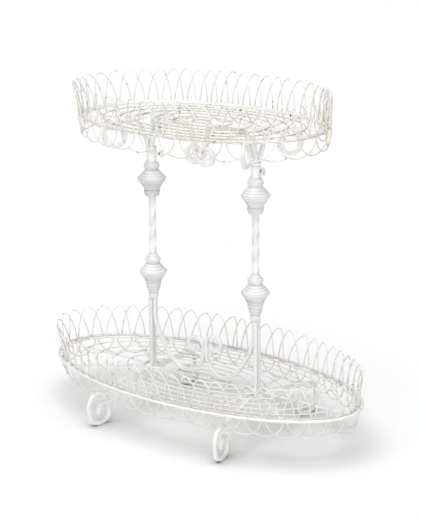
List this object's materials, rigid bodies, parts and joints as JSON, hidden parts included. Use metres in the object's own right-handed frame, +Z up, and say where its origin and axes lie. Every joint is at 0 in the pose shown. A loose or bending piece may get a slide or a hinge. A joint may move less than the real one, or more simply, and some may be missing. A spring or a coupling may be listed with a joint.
{
  "type": "two-tier wire display stand",
  "caption": "Free-standing display stand with two oval wire-work trays on a pair of turned and twisted posts, the upper tray lifting off once its thumb screws are slack.",
  "frame": {"origin": "bottom centre of the stand, on the plane that the four lower feet stand on", "axes": "+X along the long side of both oval trays and through both posts, +Y to the rear, +Z up"},
  "size_m": [0.7108, 0.3596, 0.6655],
  "materials": {
    "lower_wire_paint": "worn creamy white paint with rust at the crossings",
    "upper_wire_paint": "worn creamy white paint, browner where rust shows through",
    "bar_paint": "brushed-on white paint over square bar",
    "casting_paint": "matt white paint over turned bosses",
    "screw_metal": "steel thumb screw, partly painted over"
  },
  "bodies": {
    "root": {"left_clamp_boss": "casting_paint", "left_collar": "casting_paint", "left_lower_boss": "casting_paint", "left_socket_tube": "casting_paint", "left_twisted_bar": "casting_paint", "left_upper_boss": "casting_paint", "lower_floor_frame": "bar_paint", "lower_floor_oval_1": "lower_wire_paint", "lower_floor_oval_2": "lower_wire_paint", "lower_floor_oval_3": "lower_wire_paint", "lower_floor_oval_4": "lower_wire_paint", "lower_floor_oval_5": "lower_wire_paint", "lower_floor_oval_6": "lower_wire_paint", "lower_floor_oval_7": "lower_wire_paint", "lower_floor_oval_8": "lower_wire_paint", "lower_floor_ring": "lower_wire_paint", "lower_front_arches": "lower_wire_paint", "lower_left_arches": "lower_wire_paint", "lower_left_front_leg": "bar_paint", "lower_left_rear_leg": "bar_paint", "lower_left_scroll": "bar_paint", "lower_rear_arches": "lower_wire_paint", "lower_right_arches": "lower_wire_paint", "lower_right_front_leg": "bar_paint", "lower_right_rear_leg": "bar_paint", "lower_right_scroll": "bar_paint", "lower_rim": "lower_wire_paint", "lower_scallops": "lower_wire_paint", "right_clamp_boss": "casting_paint", "right_collar": "casting_paint", "right_lower_boss": "casting_paint", "right_socket_tube": "casting_paint", "right_twisted_bar": "casting_paint", "right_upper_boss": "casting_paint"},
    "upper_tier": {"upper_arches": "upper_wire_paint", "upper_floor_frame": "bar_paint", "upper_floor_oval_1": "upper_wire_paint", "upper_floor_oval_2": "upper_wire_paint", "upper_floor_oval_3": "upper_wire_paint", "upper_floor_oval_4": "upper_wire_paint", "upper_floor_oval_5": "upper_wire_paint", "upper_floor_oval_6": "upper_wire_paint", "upper_floor_ring": "upper_wire_paint", "upper_left_front_leg": "bar_paint", "upper_left_peg": "casting_paint", "upper_left_rear_leg": "bar_paint", "upper_left_scroll": "bar_paint", "upper_right_front_leg": "bar_paint", "upper_right_peg": "casting_paint", "upper_right_rear_leg": "bar_paint", "upper_right_scroll": "bar_paint", "upper_rim": "upper_wire_paint", "upper_scallops": "upper_wire_paint"},
    "left_screw": {"left_screw_shank": "screw_metal"},
    "left_wing": {"left_screw_wing": "screw_metal"},
    "right_screw": {"right_screw_shank": "screw_metal"},
    "right_wing": {"right_screw_wing": "screw_metal"}
  },
  "joints": [
    {"name": "upper_tier_lift", "type": "slide", "parent": "root", "child": "upper_tier", "axis": [0, 0, 1], "range_m": [0, 0.06]},
    {"name": "left_screw_travel", "type": "slide", "parent": "root", "child": "left_screw", "axis": [0.8192, 0.5736, 0], "range_m": [0, 0.0024]},
    {"name": "left_screw_turn", "type": "hinge", "parent": "left_screw", "child": "left_wing", "pos_m": [-0.1235, 0, 0.5207], "axis": [0.8192, 0.5736, 0], "range_deg": [0, 1080]},
    {"name": "right_screw_travel", "type": "slide", "parent": "root", "child": "right_screw", "axis": [0.9903, -0.1392, 0], "range_m": [0, 0.0024]},
    {"name": "right_screw_turn", "type": "hinge", "parent": "right_screw", "child": "right_wing", "pos_m": [0.1235, 0, 0.5207], "axis": [0.9903, -0.1392, 0], "range_deg": [0, 1080]}
  ],
  "couplings": [
    {"joint": "left_screw_turn", "follows": "left_screw_travel", "rad_per_m": 7854},
    {"joint": "right_screw_turn", "follows": "right_screw_travel", "rad_per_m": 7854}
  ]
}
